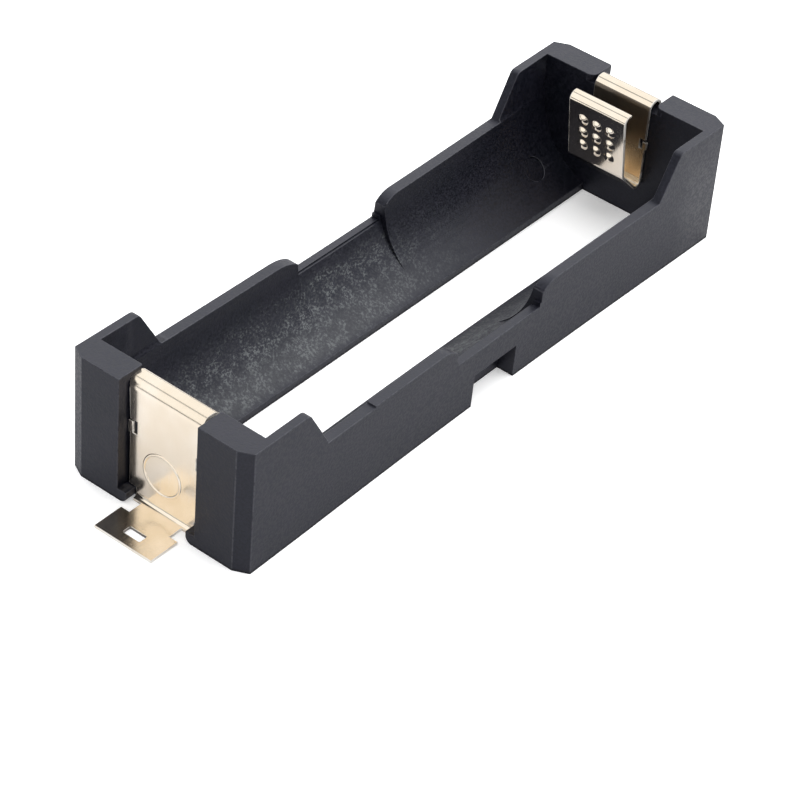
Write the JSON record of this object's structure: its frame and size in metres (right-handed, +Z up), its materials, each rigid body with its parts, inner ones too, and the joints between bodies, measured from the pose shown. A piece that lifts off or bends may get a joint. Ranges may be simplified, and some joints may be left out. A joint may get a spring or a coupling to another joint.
{
  "type": "cylindrical cell holder",
  "caption": "Open-bottom surface-mount holder for a cylindrical cell: a round-bedded plastic cradle with raised ends, finger recesses and folded spring contacts with solder tabs.",
  "frame": {"origin": "middle of the footprint, on the board's surface", "axes": "+X along the cell, towards the narrow leaf contact; +Z up from the board, the way the cell comes out"},
  "size_m": [0.0918, 0.0244, 0.0163],
  "materials": {
    "moulding": "black glass-filled nylon, matte, with faint fibre speckle",
    "contact_plate": "nickel plated spring strip, satin and slightly warm"
  },
  "bodies": {
    "root": {"holder_body": "moulding", "wide_contact": "contact_plate", "narrow_contact": "contact_plate"}
  },
  "joints": []
}
